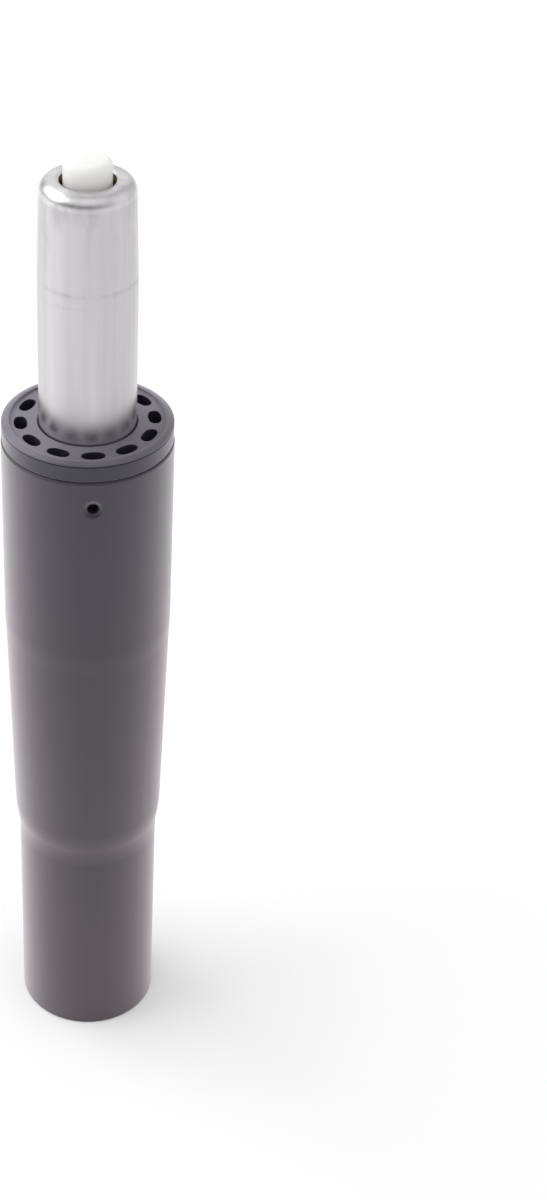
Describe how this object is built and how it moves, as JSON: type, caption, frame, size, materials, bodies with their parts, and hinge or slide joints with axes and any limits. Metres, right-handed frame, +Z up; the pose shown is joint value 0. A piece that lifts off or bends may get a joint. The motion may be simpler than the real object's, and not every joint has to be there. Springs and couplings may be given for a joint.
{
  "type": "chair gas lift cylinder",
  "caption": "Gas lift cylinder for a swivel chair: tapered column with a guide bush, sliding and swivelling tube with a seat taper, and a release button on top.",
  "frame": {"origin": "centre of the column's foot, on the plane that it stands on", "axes": "+Z up along the axis of the cylinder, from the foot to the release button; -Y is the side that faces the camera in the picture"},
  "size_m": [0.05, 0.05, 0.3047],
  "materials": {
    "column_coat": "satin dark grey powder coat",
    "bush_plastic": "matte dark grey moulded plastic",
    "ground_steel": "bright ground and plated steel",
    "button_plastic": "white moulded plastic",
    "plain_steel": "plain zinc-plated steel",
    "hard_chrome": "ground, hard-chromed rod",
    "bearing_steel": "hardened, polished steel",
    "cage_brass": "pressed brass",
    "spring_steel": "blackened spring steel",
    "rubber": "black rubber",
    "alloy": "turned aluminium",
    "valve_brass": "turned brass",
    "glide_plastic": "cream low-friction plastic"
  },
  "bodies": {
    "column": {"column_tube": "column_coat", "guide_bush": "bush_plastic", "base_plate": "plain_steel", "bearing_lower_race": "bearing_steel"},
    "cage": {"bearing_cage": "cage_brass", "bearing_balls": "bearing_steel"},
    "rod": {"piston_rod": "hard_chrome", "bearing_upper_race": "bearing_steel", "buffer_washer": "plain_steel", "rubber_buffer": "rubber", "rod_washer": "plain_steel", "rod_clip": "spring_steel", "piston": "alloy", "piston_seal": "rubber", "glide_ring": "glide_plastic", "piston_washer": "plain_steel", "piston_nut": "plain_steel"},
    "lift": {"pressure_tube": "ground_steel", "inner_tube": "plain_steel", "valve_body": "valve_brass", "valve_seat": "valve_brass", "valve_seal": "rubber", "pin_seal": "rubber", "rod_guide": "alloy", "rod_seal": "rubber", "seal_spacer": "alloy"},
    "release": {"release_button": "button_plastic", "release_pin": "plain_steel", "head_seal": "rubber"}
  },
  "joints": [
    {"name": "swivel", "type": "hinge", "parent": "column", "child": "rod", "pos_m": [0, 0, 0.0119], "axis": [0, 0, 1], "continuous": true},
    {"name": "cage_roll", "type": "hinge", "parent": "column", "child": "cage", "pos_m": [0, 0, 0.0119], "axis": [0, 0, 1], "continuous": true},
    {"name": "height", "type": "slide", "parent": "rod", "child": "lift", "axis": [0, 0, 1], "range_m": [-0.038, 0.062]},
    {"name": "button_press", "type": "slide", "parent": "lift", "child": "release", "axis": [0, 0, -1], "range_m": [0, 0.004], "stiffness_N_per_m": 1000, "springref_m": -0.003}
  ],
  "couplings": [
    {"joint": "cage_roll", "follows": "swivel", "ratio": 0.5}
  ]
}
